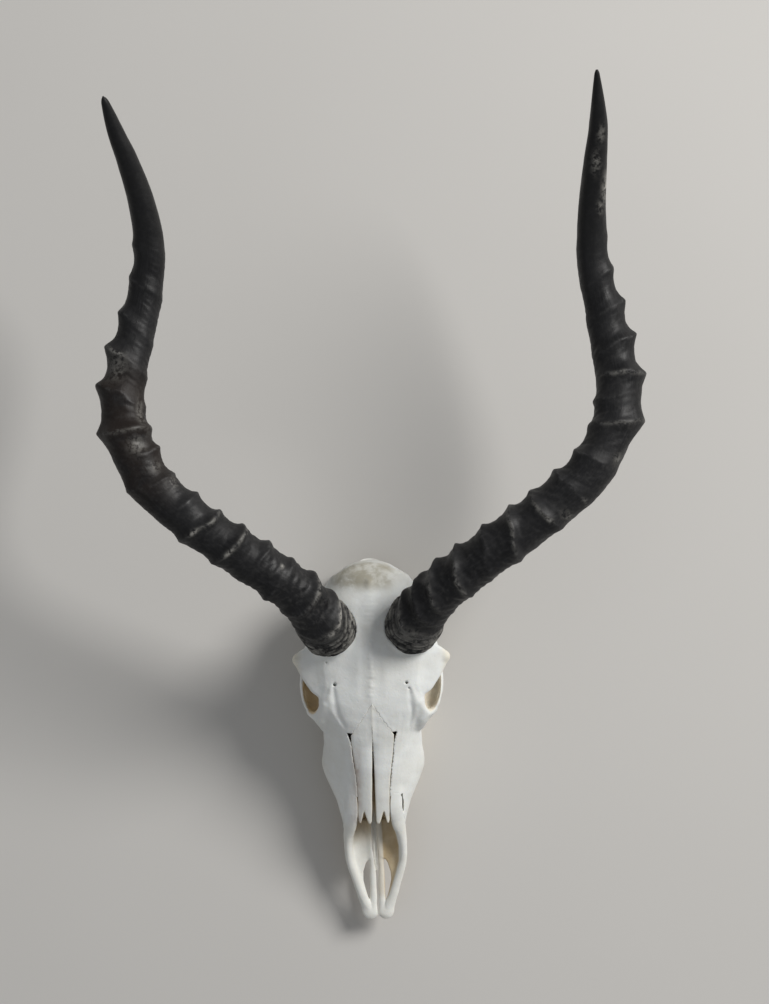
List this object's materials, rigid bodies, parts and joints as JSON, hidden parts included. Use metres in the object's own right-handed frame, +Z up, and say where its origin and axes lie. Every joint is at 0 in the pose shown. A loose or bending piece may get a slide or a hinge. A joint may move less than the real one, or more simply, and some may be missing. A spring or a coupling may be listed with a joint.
{
  "type": "impala skull with horns",
  "caption": "Bleached antelope skull without its lower jaw, carrying long dark ringed horns that curve out and forward to smooth tips.",
  "frame": {"origin": "centre of the bounding box at floor level, under the animal's head and horns", "axes": "+Y from the nose towards the horn tips, +Z up from the surface that the teeth rest on, +X across the head"},
  "size_m": [0.4164, 0.6436, 0.2215],
  "materials": {
    "bone": null,
    "tooth": null,
    "horn": "satin charcoal horn with chalky scuffs; plastic stands for keratin"
  },
  "bodies": {
    "root": {"skull": "bone", "nasal_left": "bone", "nasal_right": "bone", "premaxilla_left": "bone", "premaxilla_right": "bone", "vomer": "bone", "premolar_2_left": "tooth", "premolar_2_right": "tooth", "premolar_3_left": "tooth", "premolar_3_right": "tooth", "premolar_4_left": "tooth", "premolar_4_right": "tooth", "molar_1_left": "tooth", "molar_1_right": "tooth", "molar_2_left": "tooth", "molar_2_right": "tooth", "molar_3_left": "tooth", "molar_3_right": "tooth", "horn_left": "horn", "horn_right": "horn"}
  },
  "joints": []
}
